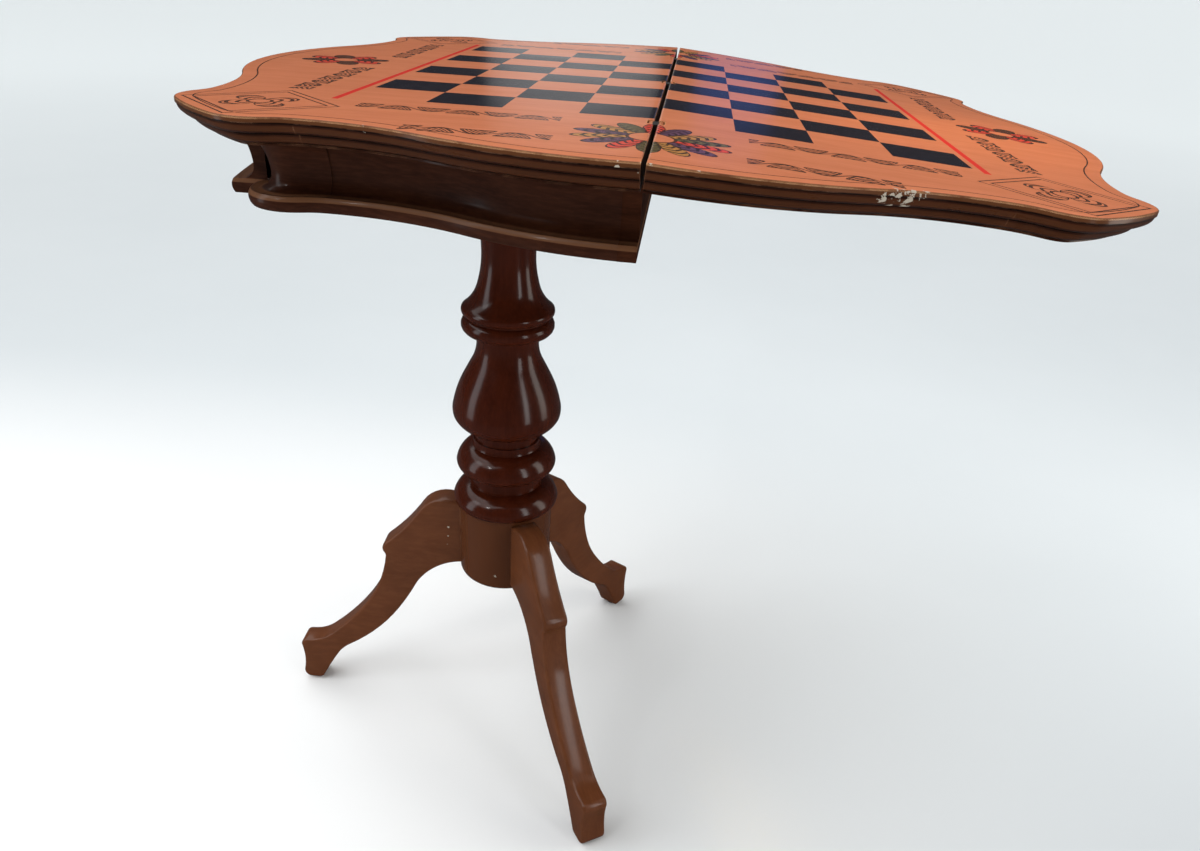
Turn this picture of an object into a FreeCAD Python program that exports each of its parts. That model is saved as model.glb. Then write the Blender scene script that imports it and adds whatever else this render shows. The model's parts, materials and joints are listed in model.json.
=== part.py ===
import FreeCAD, Part
import math
import os
from collections import namedtuple

os.makedirs("parts", exist_ok=True)
V = FreeCAD.Vector

# Overall
table_h = 745.0

# Leaf outline: a bow on each side, hollows beside it, a lobe at each outer corner
notch_half = 316.5        # from the middle to where a hollow runs level
corner_span = 98.5        # from there along the side to the corner of the square
column_share = 0.44992    # column's axis behind the split, as a share of notch_half
front_bow = 54.5
end_bow = 49.5
bow_roundness = 1.3303    # bow's radius to the length from the middle to a level hollow
lobe_offset = 31.4
lobe_proud = 7.5
lobe_r = 34.2
lobe_crown = 1.9

# Leaf build-up
leaf_t = 20.0
veneer_t = 1.2
moulding_w = 22.0
moulding_fillet = 2.4     # plain edge above the reeds
reed_step = 0.8
reed_bulge = 2.6
lip_w = 3.8
lip_t = 1.2
lipping_w = 24.0

# Split and link hinges
split_gap = 2.8
split_arris = 1.1
droop = 4.6               # degrees that the folding leaf sags below level
fold_gap = 0.6            # between the two faces when folded
pivot_depth = 2.9
link_r = 2.3
link_w = 14.0
pin_r = 1.1
pin_running = 0.05
slot_side = 0.3
slot_end = 0.3
rest_gap = 0.05           # between a link and the floor that stops it
hinge_spread = 230.0
hinge_len = 40.0
hinge_w = 16.0
hinge_h = 12.0
pin_short = 0.5           # each end of a pin below its body's end
hinge_screw_len = 22.0
hinge_screw_r = 1.7
hinge_screw_head = 3.2
hinge_screw_spread = 14.0

# Box under the fixed leaf
box_inset = 41.0          # bead nose in from the leaf's edge
box_h = 48.5
bead_r = 5.25
ledge_in = 6.0            # where the ledge above the bead ends
cove_in = 18.0            # deepest point of the frieze behind the bead nose
frieze_top_in = 9.0
frieze_in = 27.0          # back of the frieze behind the bead nose
corner_cove_in = 17.0
corner_ledge_in = 4.0
corner_top_in = 7.0
box_lobe_proud = 6.0
box_lobe_r = 34.0
end_in = 39.5             # sawn ends of the end frieze in from the box's level hollows
end_fall = 22.6           # its bead nose there behind the middle of its bow
panel_t = 12.0
panel_back = 1.5          # end panel's face behind the split's middle
bottom_t = 10.0
bottom_up = 2.0           # bottom board above the beads
bearer_gap = 0.5          # between the bearer's top and the rails' height
bearer_w = 100.0
rail_w = 40.0
rail_t = 18.0
rail_first = 40.0         # rails' centres behind the split
rail_gap = 2.6            # between the bearer and the second rail
glue_block = 25.0

# Column: heights as shares of the table's height, then radii and fittings
hub_lift = 0.26577
hub_share = 0.1651
ring_share = 0.036913
collar_share = 0.0698
vase_share = 0.18792
hub_r = 52.3
hub_round = 9.0
ring_r = 58.5
collar_r = 54.9
vase_r = 58.5
bead_ring_r = 48.4
waist_r = 27.5
flange_r = 46.0
flange_t = 4.0
neck_in = 34.5            # plain necks between the rings
groove_in = 40.0
rod_r = 5.0
rod_bore = 5.5
rod_over = 2.5
nut_af = 17.0
nut_t = 8.0
washer_r = 12.0
washer_t = 2.0
counterbore_r = 13.0
counterbore_h = 22.0

# Legs and feet
leg_t = 28.0
leg_arris = 3.0
leg_angles = {"leg_left": 181.8, "leg_front": -57.0, "leg_back": 60.0}
toe_reach = 257.2
leg_share = 0.38707       # top of a leg, as a share of the table's height
dowel_r = 5.0
dowel_len = 44.0
dowel_shares = (0.8, 0.911)   # heights as shares of a leg's
glide_r = 6.5
glide_t = 3.0
glide_in = 13.5           # glide's centre behind the toe
seat_cut = 0.4            # foot planed off for the glide
nail_r = 1.2
nail_len = 12.0

# Wood screws
screw_r = 2.0
screw_head = 4.0
screw_cone = 2.6
bearer_screw_len = 26.0
bearer_screw_x = 38.0
bearer_screw_y = 62.0
rail_screw_len = 30.0
rail_screw_y = (-170.0, 0.0, 170.0)

# Worked out from the above
leaf_z = table_h - leaf_t
board_z = table_h - veneer_t
board_t = leaf_t - veneer_t
box_z = leaf_z - box_h
bottom_z = box_z + bottom_up
bearer_z = bottom_z + bottom_t
rail_z = leaf_z - rail_t
glue_block_h = rail_z - bearer_z
bearer_t = glue_block_h - bearer_gap
split_x = -split_gap / 2
panel_x = -panel_back
box_x = panel_x - panel_t
notch_start = notch_half - corner_span
bow_r = bow_roundness * notch_start
column_back = column_share * notch_half
rail_second = column_back + bearer_w / 2 + rail_gap + rail_w / 2
half_length = notch_half + end_bow
half_width = notch_half + front_bow
box_half = notch_half - box_inset
end_half = box_half - end_in
column = V(-column_back, 0, 0)
pivot_in = pivot_depth + fold_gap / 2
pivot_z = table_h - pivot_depth
near_pivot = V(-pivot_in, 0, pivot_z)
half_droop = math.radians(droop / 2)
link_way = V(math.cos(half_droop), 0, -math.sin(half_droop))
far_pivot = near_pivot + link_way * (2 * pivot_in)
link_drop = (pivot_in + split_x) * math.tan(half_droop) + link_r / math.cos(half_droop)
slot_floor = pivot_z - link_drop - rest_gap
hinge_places = (-hinge_spread, 0.0, hinge_spread)
hub_z = hub_lift * table_h
ring_h = ring_share * table_h
collar_h = collar_share * table_h
vase_h = vase_share * table_h
hub_top = hub_z + hub_share * table_h
collar_top = hub_top + collar_h
vase_top = collar_top + vase_h
neck_h = bottom_z - vase_top
leg_h = leg_share * table_h
far = 2 * table_h
left_turn = math.radians(leg_angles["leg_left"] - 180)
toe_corner = (toe_reach - leg_arris) * math.cos(left_turn) + (leg_t / 2 - leg_arris) * math.sin(left_turn)
# The frame's origin lies on the floor under the middle of the overall length.
origin_shift = V((column_back + toe_corner + leg_arris - half_length) / 2, 0, 0)

Arc = namedtuple("Arc", "x y r start sweep convex")


def save(name, *solids):
    """Write one sub-part, with its separate solids together."""
    shape = solids[0] if len(solids) == 1 else Part.makeCompound(list(solids))
    placed = shape.copy()
    placed.translate(origin_shift)
    placed.exportStep(f"parts/{name}.step")


def radius_at(arc, inset):
    return arc.r - inset if arc.convex else arc.r + inset


def on_arc(arc, share, inset, z):
    angle = math.radians(arc.start + arc.sweep * share)
    r = radius_at(arc, inset)
    return V(arc.x + r * math.cos(angle), arc.y + r * math.sin(angle), z)


def across(arc):
    """The arc mirrored about the corner's diagonal and run the other way."""
    return Arc(arc.y, arc.x, arc.r, 90 - arc.start - arc.sweep, arc.sweep, arc.convex)


def behind(arc):
    """The arc mirrored front to back and run the other way."""
    return Arc(arc.x, -arc.y, arc.r, -arc.start - arc.sweep, arc.sweep, arc.convex)


def mirrored(arcs, mirror):
    return [mirror(arc) for arc in reversed(arcs)]


def s_curve(bow):
    """A bow from the middle of a side and the hollow that runs out level beside it."""
    reach = (notch_start ** 2 + bow ** 2) / (2 * bow)
    turn = math.degrees(math.asin(notch_start / reach))
    hollow_r = reach - bow_r
    middle = Arc(0, bow_r - notch_half - bow, bow_r, -90, -turn, True)
    hollow = Arc(-notch_start, -notch_half - hollow_r, hollow_r, 90 - turn, turn, False)
    return [middle, hollow]


def notch(half, lobe_x, lobe_y, round_r):
    """The hollow that leads from the level end of a side into a round of the lobe."""
    along = lobe_x - notch_start
    down = half - lobe_y
    r = (along ** 2 + down ** 2 - round_r ** 2) / (2 * (round_r - down))
    turn = math.degrees(math.atan2(down + r, -along)) - 90
    return Arc(-notch_start, -half - r, r, 90, turn, False)


def leaf_corner():
    """Notch, round, flat crown, round and notch."""
    lobe_x = notch_start + lobe_offset
    lobe_y = notch_half + lobe_proud - lobe_r
    hollow = notch(notch_half, lobe_x, lobe_y, lobe_r)
    crown = lobe_r + lobe_crown
    aside = (lobe_y - lobe_x) / math.sqrt(2)
    crown_r = (crown ** 2 + aside ** 2 - lobe_r ** 2) / (2 * lobe_crown)
    middle = (lobe_x + lobe_y) / 2 + (crown - crown_r) / math.sqrt(2)
    start = hollow.sweep - 90
    end = math.degrees(math.atan2(middle - lobe_y, middle - lobe_x))
    rounding = Arc(-lobe_x, -lobe_y, lobe_r, start, end - start, True)
    top = Arc(-middle, -middle, crown_r, end, -270 - 2 * end, True)
    return [hollow, rounding, top, across(rounding), across(hollow)]


def box_corner():
    """Notch, one round lobe and notch."""
    lobe = box_half + box_lobe_proud - box_lobe_r
    hollow = notch(box_half, lobe, lobe, box_lobe_r)
    start = hollow.sweep - 90
    return [hollow, Arc(-lobe, -lobe, box_lobe_r, start, -270 - 2 * start, True), across(hollow)]


def box_end_bow():
    """One long bow, run past both sawn ends."""
    r = (end_half ** 2 + end_fall ** 2) / (2 * end_fall)
    turn = math.degrees(math.asin((end_half + frieze_in) / r))
    return Arc(r - half_length + box_inset, 0, r, turn - 180, -2 * turn, True)


def inset_by(arcs, inset):
    return [arc._replace(r=radius_at(arc, inset)) for arc in arcs]


def traced(start, steps, place):
    """Closed face: each step is a line to a point, or an arc by a point on it to a point."""
    edges = []
    here = start
    closing = [] if steps[-1][-1] == start else [(start,)]
    for step in list(steps) + closing:
        points = [place(*point) for point in (here,) + step]
        edges.append(Part.makeLine(*points) if len(step) == 1 else Part.Arc(*points).toShape())
        here = step[-1]
    return Part.Face(Part.Wire(edges))


def outward(solid):
    if solid.Volume < 0:
        solid.reverse()
    return solid


def fused(solids):
    whole = solids[0]
    if len(solids) > 1:
        whole = whole.multiFuse(solids[1:]).removeSplitter()
    return whole.Solids[0] if len(whole.Solids) == 1 else whole


def moulded(arcs, start, steps):
    """A profile of (inset, height) run round the arcs of an outline."""
    pieces = []
    for arc in arcs:
        face = traced(start, steps, lambda inset, z: on_arc(arc, 0, inset, z))
        turn = V(0, 0, math.copysign(1, arc.sweep))
        pieces.append(outward(face.revolve(V(arc.x, arc.y, 0), turn, abs(arc.sweep))))
    return fused(pieces)


def plan_solid(arcs, inset, z, height):
    """A board with the outline's plan, closed along the split's middle."""
    edges = []
    for arc in arcs:
        edges.append(Part.Arc(*[on_arc(arc, share, inset, z) for share in (0, 0.5, 1)]).toShape())
    edges.append(Part.makeLine(on_arc(arcs[-1], 1, inset, z), on_arc(arcs[0], 0, inset, z)))
    return Part.Face(Part.Wire(edges)).extrude(V(0, 0, height))


def slab(x0, x1, y0, y1, z0, z1):
    return Part.makeBox(x1 - x0, y1 - y0, z1 - z0, V(x0, y0, z0))


def between_x(shape, x0, x1):
    return fused(shape.common(slab(x0, x1, -far, far, -far, far)).Solids)


def cut_by(shape, tools):
    return fused(shape.cut(list(tools)).Solids)


def smooth_face(start, heading, points, place):
    """Closed face whose arcs each leave in the direction in which the last one arrived."""
    steps = []
    here = start
    for point in points:
        along, up = point[0] - here[0], point[1] - here[1]
        chord = math.atan2(up, along)
        turn = (chord - heading + math.pi) % (2 * math.pi) - math.pi
        sag = math.hypot(along, up) / 2 * math.tan(turn / 2)
        middle = ((here[0] + point[0]) / 2, (here[1] + point[1]) / 2)
        steps.append(((middle[0] + sag * math.sin(chord), middle[1] - sag * math.cos(chord)), point))
        heading = chord + turn
        here = point
    return traced(start, steps, place)


def is_upright(edge):
    ends = [vertex.Point for vertex in edge.Vertexes]
    return abs(ends[0].x - ends[1].x) < 0.01 and ends[0].x < hub_r


def screw(head_at, way, length, shank_r, head_r):
    """A countersunk wood screw, its head's face at head_at."""
    shank = Part.makeCylinder(shank_r, length, head_at, way)
    return fused([shank, Part.makeCone(head_r, shank_r, screw_cone, head_at, way)])


def turned(steps, base_r):
    """A turned piece of the column with the rod's bore through it."""
    start = (rod_bore, base_r[1])
    face = traced(start, [(base_r,)] + steps, lambda r, z: column + V(r, 0, z))
    return outward(face.revolve(column, V(0, 0, 1), 360))


front = s_curve(front_bow)
corner = leaf_corner()
end = mirrored(s_curve(end_bow), across)
end = end + mirrored(end, behind)
outline = front + corner + end + mirrored(corner, behind) + mirrored(front, behind)
box_front = inset_by(front, box_inset)
box_lobes = box_corner()
box_end = box_end_bow()
box_hollows = inset_by(end, box_inset)
box_outline = box_front + box_lobes + box_hollows + mirrored(box_lobes, behind) + mirrored(box_front, behind)


def moulding_profile():
    """Plain edge, two reeds on a slant and a thin lip, as (inset, height) from the outer top edge."""
    top = board_z
    reeds_top = top - moulding_fillet
    lip_in = moulding_w - lip_w
    fall = (reeds_top - leaf_z - lip_t - reed_step) / 2
    run = (lip_in - 2 * reed_step) / 2
    slant = math.hypot(fall, run)
    steps = [((0, reeds_top),)]
    for reed in range(2):
        inset = reed_step + reed * (run + reed_step)
        z = reeds_top - reed * fall
        bulge = (inset + run / 2 - reed_bulge * fall / slant, z - fall / 2 - reed_bulge * run / slant)
        steps += [((inset, z),), (bulge, (inset + run, z - fall))]
    lip_top = leaf_z + lip_t
    steps += [((lip_in + reed_step, reeds_top - 2 * fall),), ((lip_in + reed_step, lip_top),)]
    steps += [((lip_in, lip_top),), ((lip_in, leaf_z),), ((moulding_w, leaf_z),), ((moulding_w, top),)]
    return (0, top), steps


def hinge_bodies():
    """Hinge blocks in the fixed leaf, slotted for the links, and the pockets and notches they need."""
    blocks = []
    slots = []
    for y in hinge_places:
        half = hinge_len / 2
        blocks.append(slab(split_x - hinge_w, split_x, y - half, y + half, board_z - hinge_h, board_z))
        side = link_w / 2 + slot_side
        slots.append(slab(-pivot_in - link_r - slot_end, 0, y - side, y + side, slot_floor, far))
    return blocks, slots


def pins(at, radius, short):
    length = hinge_len - 2 * short
    return [Part.makeCylinder(radius, length, at + V(0, y - length / 2, 0), V(0, 1, 0)) for y in hinge_places]


def hinge_links():
    """One flat link with round ends for each hinge, bored for a pin at each end."""
    upward = V(-link_way.z, 0, link_way.x)
    reach = 2 * pivot_in
    steps = [
        ((reach, -link_r),), ((reach + link_r, 0), (reach, link_r)),
        ((0, link_r),), ((-link_r, 0), (0, -link_r)),
    ]
    links = []
    for y in hinge_places:
        side = near_pivot + V(0, y - link_w / 2, 0)
        face = traced((0, -link_r), steps, lambda u, v: side + link_way * u + upward * v)
        bores = []
        for u in (0, reach):
            bores.append(Part.makeCylinder(pin_r + pin_running, link_w, side + link_way * u, V(0, 1, 0)))
        links.append(cut_by(outward(face.extrude(V(0, link_w, 0))), bores))
    return links


def on_split_arris(edge):
    middle = edge.CenterOfMass
    return abs(middle.x - split_x) < 0.01 and abs(middle.z - table_h) < 0.01


def fixed_leaf():
    """The fixed leaf's pieces with its half of the hinges, by name."""
    blocks, slots = hinge_bodies()
    bores = pins(near_pivot, pin_r, 0)
    screws = []
    for y in hinge_places:
        for aside in (-hinge_screw_spread, hinge_screw_spread):
            head_at = V(split_x, y + aside, board_z - hinge_h / 2)
            screws.append(screw(head_at, V(-1, 0, 0), hinge_screw_len, hinge_screw_r, hinge_screw_head))
    board = plan_solid(outline, moulding_w, leaf_z, board_t)
    lipping_x = split_x - lipping_w
    start, steps = moulding_profile()
    runs = {
        "moulding_front": front,
        "moulding_corner_front": corner,
        "moulding_end": end,
        "moulding_corner_back": mirrored(corner, behind),
        "moulding_back": mirrored(front, behind),
    }
    pieces = {name: between_x(moulded(arcs, start, steps), -far, split_x) for name, arcs in runs.items()}
    sheet = between_x(plan_solid(outline, 0, board_z, veneer_t), -far, split_x)
    sheet = sheet.makeFillet(split_arris, [edge for edge in sheet.Edges if on_split_arris(edge)])
    pieces["core"] = between_x(board, -far, lipping_x)
    pieces["lipping"] = cut_by(between_x(board, lipping_x, split_x), blocks + screws)
    pieces["veneer"] = cut_by(sheet, slots)
    hinges = {
        "bodies": [cut_by(cut_by(block, [slot]), bores + screws) for block, slot in zip(blocks, slots)],
        "pins": pins(near_pivot, pin_r, pin_short),
        "screws": screws,
    }
    return pieces, hinges


def folded_twin(shape):
    """A piece of the fixed leaf as its mirror twin on the sagging folding leaf."""
    twin = shape.mirror(V(0, 0, 0), V(1, 0, 0))
    twin.translate(far_pivot - V(pivot_in, 0, pivot_z))
    twin.rotate(far_pivot, V(0, 1, 0), droop)
    return twin


def build_leaves():
    pieces, hinges = fixed_leaf()
    rail_screws = top_rail_screws()
    for name, shape in pieces.items():
        save(f"folding_leaf_{name}", folded_twin(shape))
    for name, solids in hinges.items():
        save(f"folding_hinge_{name}", *[folded_twin(solid) for solid in solids])
        save(f"fixed_hinge_{name}", *solids)
    pieces["core"] = cut_by(pieces["core"], rail_screws)
    for name, shape in pieces.items():
        save(f"fixed_leaf_{name}", shape)
    save("hinge_links", *hinge_links())


def frieze_profile(cove, ledge, top_in):
    """Bead, ledge and hollow, as (inset, height) from the bead's lower edge."""
    nose = 0.4 * bead_r
    bead_top = box_z + 2 * bead_r
    steps = [((0, box_z + bead_r), (nose, bead_top)), ((ledge, bead_top),)]
    deep = box_z + 0.43 * box_h
    top = leaf_z - bead_r / 2
    steps += [((cove - 2.5, bead_top + 0.3 * (deep - bead_top)), (cove, deep))]
    steps += [((cove - 2.5, deep + 0.5 * (top - deep)), (top_in, top)), ((top_in, leaf_z),)]
    steps += [((frieze_in, leaf_z),), ((frieze_in, box_z),)]
    return (nose, box_z), steps


def top_rail_screws():
    screws = []
    for x in (rail_first, rail_second):
        for y in rail_screw_y:
            screws.append(screw(V(-x, y, rail_z), V(0, 0, 1), rail_screw_len, screw_r, screw_head))
    return screws


def build_box():
    """Friezes, corner blocks, end panel, boards and blocks under the fixed leaf."""
    plain = frieze_profile(cove_in, ledge_in, frieze_top_in)
    full = frieze_profile(corner_cove_in, corner_ledge_in, corner_top_in)
    save("frieze_front", between_x(moulded(box_front, *plain), -far, box_x))
    save("frieze_back", between_x(moulded(mirrored(box_front, behind), *plain), -far, box_x))
    between_ends = slab(-far, box_x, -end_half, end_half, -far, far)
    save("frieze_end", outward(moulded([box_end], *plain).common(between_ends).Solids[0]))
    save("frieze_corner_front", cut_by(moulded(box_lobes, *full), [between_ends]))
    save("frieze_corner_back", cut_by(moulded(mirrored(box_lobes, behind), *full), [between_ends]))

    inner = plan_solid(box_outline, frieze_in, bottom_z, leaf_z - bottom_z)
    inner = between_x(inner, frieze_in - box_half, box_x)
    end_space = Part.makeCylinder(box_end.r - frieze_in, leaf_z - bottom_z, V(box_end.x, box_end.y, bottom_z))
    end_space = end_space.common(between_ends).common(slab(-far, -notch_start, -far, far, -far, far))
    inner = fused([inner, end_space])
    nose_y = half_width - box_inset
    ends = []
    for way in (-1, 1):
        face = traced(*plain, lambda inset, z: V(box_x, way * (nose_y - inset), z))
        ends.append(outward(face.extrude(V(panel_t, 0, 0))))
    back = nose_y - frieze_in
    save("box_end_panel", fused(ends + [slab(box_x, panel_x, -back, back, box_z, leaf_z)]))

    rod_hole = Part.makeCylinder(rod_bore, far, column)
    screws = []
    for x in (-bearer_screw_x, bearer_screw_x):
        for y in (-bearer_screw_y, bearer_screw_y):
            head_at = column + V(x, y, bearer_z + bearer_t)
            screws.append(screw(head_at, V(0, 0, -1), bearer_screw_len, screw_r, screw_head))
    bottom = inner.common(slab(-far, 0, -far, far, bottom_z, bearer_z))
    half = bearer_w / 2
    bearer = inner.common(slab(column.x - half, column.x + half, -far, far, bearer_z, bearer_z + bearer_t))
    save("box_bottom", cut_by(bottom, screws + [rod_hole]))
    save("bearer", cut_by(bearer, screws + [rod_hole]))
    save("bearer_screws", *screws)

    rail_screws = top_rail_screws()
    rails = []
    for x in (rail_first, rail_second):
        rail = inner.common(slab(-x - rail_w / 2, -x + rail_w / 2, -far, far, rail_z, leaf_z))
        rails.append(cut_by(rail, rail_screws))
    save("top_rails", *rails)
    save("top_rail_screws", *rail_screws)

    blocks = []
    for way in (-1, 1):
        y = sorted((way * back, way * (back - glue_block)))
        corner_space = slab(box_x - glue_block, box_x, *y, bearer_z, bearer_z + glue_block_h)
        blocks.append(fused(inner.common(corner_space).Solids))
    save("glue_blocks", *blocks)


def dowel(angle, z):
    way = V(math.cos(math.radians(angle)), math.sin(math.radians(angle)), 0)
    return Part.makeCylinder(dowel_r, dowel_len, column + way * (hub_r - dowel_len / 2) + V(0, 0, z), way)


def rising(base, height):
    """Heights of a turned piece as shares of its own."""
    return lambda share: base + share * height


def build_column(dowels):
    """Hub with its ring, collar ring, vase with its bead, flared neck, and the rod through them."""
    bend = hub_round * (1 - math.sqrt(0.5))
    z = rising(hub_top - ring_h, ring_h)
    hub = turned([
        ((hub_r - bend, hub_z + bend), (hub_r, hub_z + hub_round)),
        ((hub_r, z(0)),),
        ((ring_r - 2, z(0)),),
        ((ring_r, z(0.1636)), (ring_r - 1, z(0.3818))),
        ((ring_r - 5.5, z(0.6364)), (groove_in + 4, z(0.8545))),
        ((groove_in, z(0.8836)),),
        ((groove_in, z(1)),),
        ((rod_bore, z(1)),),
    ], (hub_r - hub_round, hub_z))
    counterbore = Part.makeCylinder(counterbore_r, counterbore_h, column + V(0, 0, hub_z))
    save("column_hub", cut_by(hub, dowels + [counterbore]))

    z = rising(hub_top, collar_h)
    save("column_collar", turned([
        ((groove_in, z(0.2404)),),
        ((groove_in + 3, z(0.25)),),
        ((collar_r - 1.8, z(0.3462)), (collar_r, z(0.4615))),
        ((collar_r - 4, z(0.6635)), (groove_in + 2, z(0.8269))),
        ((neck_in + 3, z(0.8462)),),
        ((neck_in + 2, z(0.8942)),),
        ((neck_in + 2, z(1)),),
        ((rod_bore, z(1)),),
    ], (groove_in, z(0))))

    z = rising(collar_top, vase_h)
    save("column_vase", turned([
        ((neck_in, z(0.0786)),),
        ((neck_in + 2.5, z(0.0857)),),
        ((vase_r - 7.5, z(0.1321)), (vase_r - 1.2, z(0.1929))),
        ((vase_r, z(0.2393)), (vase_r - 1.1, z(0.3036))),
        ((vase_r - 4.3, z(0.3929)), (vase_r - 12.5, z(0.5321))),
        ((neck_in + 4.5, z(0.6286)),),
        ((neck_in - 0.3, z(0.7071)), (neck_in - 2, z(0.8))),
        ((neck_in, z(0.8679)),),
        ((neck_in + 4.5, z(0.87)),),
        ((bead_ring_r, z(0.9264)), (bead_ring_r - 3.4, z(0.9821))),
        ((bead_ring_r - 5.4, z(0.9893)),),
        ((bead_ring_r - 5.4, z(1)),),
        ((rod_bore, z(1)),),
    ], (neck_in, z(0))))

    z = rising(vase_top, neck_h)
    flange_z = bottom_z - flange_t
    save("column_neck", turned([
        ((bead_ring_r - 3.9, z(0.0036)),),
        ((bead_ring_r - 0.4, z(0.0272)), (bead_ring_r - 0.8, z(0.0544))),
        ((waist_r + 9.5, z(0.1239)), (waist_r + 3.5, z(0.2145))),
        ((waist_r + 0.5, z(0.3142)), (waist_r, z(0.423))),
        ((waist_r + 4.5, z(0.6994)), (flange_r - 4, flange_z)),
        ((flange_r, flange_z),),
        ((flange_r, z(1)),),
        ((rod_bore, z(1)),),
    ], (bead_ring_r - 5.4, z(0))))

    low = hub_z + counterbore_h
    high = bearer_z + bearer_t
    rod_low = low - washer_t - nut_t - rod_over
    rod_high = high + washer_t + nut_t + rod_over
    rod = Part.makeCylinder(rod_r, rod_high - rod_low, column + V(0, 0, rod_low))
    save("tie_rod", rod)
    washers = []
    nuts = []
    for washer_z, nut_z in ((low - washer_t, low - washer_t - nut_t), (high, high + washer_t)):
        washer = Part.makeCylinder(washer_r, washer_t, column + V(0, 0, washer_z))
        washers.append(cut_by(washer, [Part.makeCylinder(rod_bore, far, column)]))
        nut_r = nut_af / math.sqrt(3)
        turns = [k * math.pi / 3 for k in range(7)]
        corners = [column + V(nut_r * math.cos(turn), nut_r * math.sin(turn), nut_z) for turn in turns]
        nut = Part.Face(Part.makePolygon(corners)).extrude(V(0, 0, nut_t))
        nuts.append(cut_by(nut, [rod]))
    save("tie_rod_washers", *washers)
    save("tie_rod_nuts", *nuts)


def leg_face():
    """One sabre leg's side, as shares of its reach and height, of arcs that run on smoothly."""
    foot = (glide_t - seat_cut) / leg_h
    points = [
        (0.2333, 1), (0.381, 0.9459), (0.5486, 0.7719), (0.5544, 0.7234), (0.5494, 0.7067),
        (0.6536, 0.4591), (0.8589, 0.2573), (0.9728, 0.2188), (1, 0.1876), (1, 0.04855),
        (0.9635, foot), (0.93, foot), (0.9028, 0.02427), (0.818, 0.1585), (0.7527, 0.2174),
        (0.4996, 0.4414), (0.4172, 0.5694), (0.311, 0.6755), (0.1633, 0.7137),
    ]
    outline_points = [(r * toe_reach, z * leg_h) for r, z in points]
    start = (0.1633 * toe_reach, 0.9861 * leg_h)
    return smooth_face(start, math.radians(12.5), outline_points, lambda r, z: V(r, -leg_t / 2, z))


def build_legs():
    """Three legs dowelled to the hub, each with a glide nailed under its foot."""
    blank = outward(leg_face().extrude(V(0, leg_t, 0)))
    sides = [e for e in blank.Edges if abs(abs(e.CenterOfMass.y) - leg_t / 2) < 0.01 and not is_upright(e)]
    blank = blank.makeFillet(leg_arris, sides)
    blank = cut_by(blank, [Part.makeCylinder(hub_r, far), slab(0, far, -far, far, -far, glide_t)])
    glides = []
    dowels = []
    for name, angle in leg_angles.items():
        leg = blank.copy()
        leg.rotate(V(0, 0, 0), V(0, 0, 1), angle)
        leg.translate(column)
        way = V(math.cos(math.radians(angle)), math.sin(math.radians(angle)), 0)
        foot = column + way * (toe_reach - glide_in)
        disc = Part.makeCylinder(glide_r, glide_t, foot)
        nail = Part.makeCylinder(nail_r, nail_len, foot + V(0, 0, glide_t))
        own = [dowel(angle, share * leg_h) for share in dowel_shares]
        save(name, cut_by(leg, own + [nail]))
        glides.append(fused([disc, nail]))
        dowels += own
    save("foot_glides", *glides)
    save("leg_dowels", *dowels)
    return dowels


build_leaves()
build_box()
build_column(build_legs())
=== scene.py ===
import bmesh
import bpy
import json
import math
from collections import namedtuple
from mathutils import Matrix, Vector


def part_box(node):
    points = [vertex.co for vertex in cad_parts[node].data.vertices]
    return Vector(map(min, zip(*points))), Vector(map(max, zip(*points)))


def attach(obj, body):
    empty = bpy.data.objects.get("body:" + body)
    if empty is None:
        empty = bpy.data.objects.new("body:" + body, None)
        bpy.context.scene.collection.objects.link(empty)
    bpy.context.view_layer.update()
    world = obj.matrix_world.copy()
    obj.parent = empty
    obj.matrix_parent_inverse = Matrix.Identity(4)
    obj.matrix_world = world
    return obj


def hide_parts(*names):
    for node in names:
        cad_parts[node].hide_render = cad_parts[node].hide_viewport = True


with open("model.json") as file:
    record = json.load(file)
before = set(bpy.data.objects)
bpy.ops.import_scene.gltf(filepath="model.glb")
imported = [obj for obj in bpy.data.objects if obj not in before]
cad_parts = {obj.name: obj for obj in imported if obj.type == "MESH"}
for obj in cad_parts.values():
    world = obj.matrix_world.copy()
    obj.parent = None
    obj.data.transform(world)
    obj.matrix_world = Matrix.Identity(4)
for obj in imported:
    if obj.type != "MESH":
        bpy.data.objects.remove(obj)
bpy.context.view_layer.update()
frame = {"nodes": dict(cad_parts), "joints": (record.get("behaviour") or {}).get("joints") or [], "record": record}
scene = bpy.context.scene
scene.view_settings.view_transform = "Standard"
slots = {entry["node"]: entry["material_slot"] for entry in frame["record"]["subparts"]}
MM = 0.001
X, Y, Z = range(3)

# Where the two leaves and the column stand, read from the frame in millimetres
joints = {joint["name"]: joint for joint in frame["joints"]}
near_pivot = Vector(joints["link_fold"]["pos_m"]) / MM
far_pivot = Vector(joints["leaf_fold"]["pos_m"]) / MM
link = far_pivot - near_pivot
pivot_in = link.length / 2
droop = 2 * math.atan2(-link.z, link.x)
origin_x = near_pivot.x + pivot_in
sheet_low, sheet_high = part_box("fixed_leaf_veneer")
panel_low, panel_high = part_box("box_end_panel")
hub_low, hub_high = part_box("column_hub")
top_z = sheet_high.z / MM
board_z = sheet_low.z / MM
leaf_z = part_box("fixed_leaf_core")[0].z / MM
split_x = sheet_high.x / MM - origin_x
box_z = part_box("frieze_front")[0].z / MM
panel_x = panel_high.x / MM - origin_x
box_x = panel_low.x / MM - origin_x
column_x = (hub_low.x + hub_high.x) / 2 / MM - origin_x
hub_z = hub_low.z / MM
hub_top = hub_high.z / MM
collar_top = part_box("column_collar")[1].z / MM
vase_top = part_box("column_vase")[1].z / MM
neck_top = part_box("column_neck")[1].z / MM

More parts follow.
